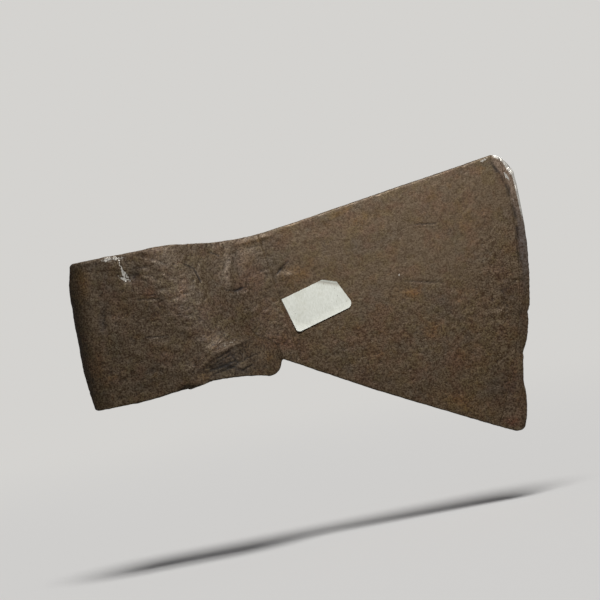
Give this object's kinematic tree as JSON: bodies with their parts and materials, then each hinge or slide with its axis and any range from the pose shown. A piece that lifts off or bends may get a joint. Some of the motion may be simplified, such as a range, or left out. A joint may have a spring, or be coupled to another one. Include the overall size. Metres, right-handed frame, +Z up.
{
  "type": "broad axe head",
  "caption": "Forged single-bevel broad axe head with a folded socket, a D-shaped eye for the haft, a flared blade with a steel cutting edge, and a blank paper stock label.",
  "frame": {"origin": "centre of the eye, on its axis and half way up the socket", "axes": "+Z up the eye, so the haft leaves along -Z; +X from the eye to the cutting edge; +Y towards the flat back, so the bevelled side faces -Y"},
  "size_m": [0.2372, 0.0335, 0.1427],
  "materials": {
    "forged_iron": "hammered wrought iron with a brown patina",
    "blade_iron": "finely pitted wrought iron with a warm brown patina",
    "edge_steel": "worn steel, rubbed bare along the bevel and dark behind it",
    "slaggy_iron": "rough slaggy iron with ochre rust in its folds",
    "label_paper": "matt off-white paper"
  },
  "bodies": {
    "root": {"socket_strap": "forged_iron", "blade_plate": "blade_iron", "steel_bit": "edge_steel", "lapped_lump": "slaggy_iron", "stock_label": "label_paper"}
  },
  "joints": []
}
